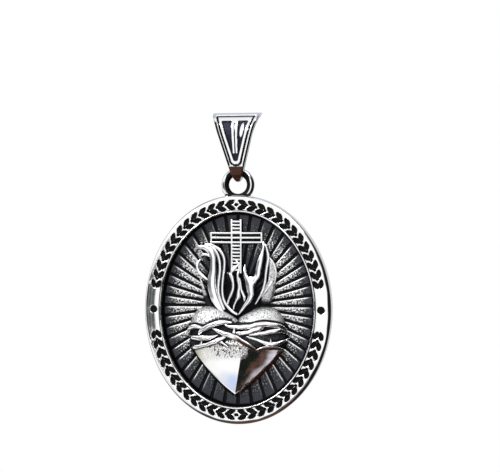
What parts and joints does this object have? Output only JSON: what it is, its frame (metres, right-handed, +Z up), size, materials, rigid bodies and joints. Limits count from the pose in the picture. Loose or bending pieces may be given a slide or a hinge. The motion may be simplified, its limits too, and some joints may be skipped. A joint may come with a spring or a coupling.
{
  "type": "sacred heart pendant",
  "caption": "Oval steel medal with a burning heart, thorn crown and cross in relief over rays, swinging by its loop on a tapered bail with a wide chain tunnel.",
  "frame": {"origin": "middle of the bail's tunnel, on the line that a chain runs along", "axes": "+Z up as the pendant hangs, the relief faces -Y and the medal's flat back faces +Y, +X along the chain, to the right as seen from the front"},
  "size_m": [0.034, 0.0073, 0.0559],
  "materials": {
    "medal_steel": "cast stainless steel, polished on what stands up and blackened in what lies deep",
    "bail_steel": "cast stainless steel, polished, with a blackened sunk panel"
  },
  "bodies": {
    "bail": {"bail": "bail_steel"},
    "medal": {"medal": "medal_steel"}
  },
  "joints": [
    {"name": "medal_swing", "type": "hinge", "parent": "bail", "child": "medal", "pos_m": [0, 0, -0.00695], "axis": [1, 0, 0], "range_deg": [-60, 60]}
  ]
}
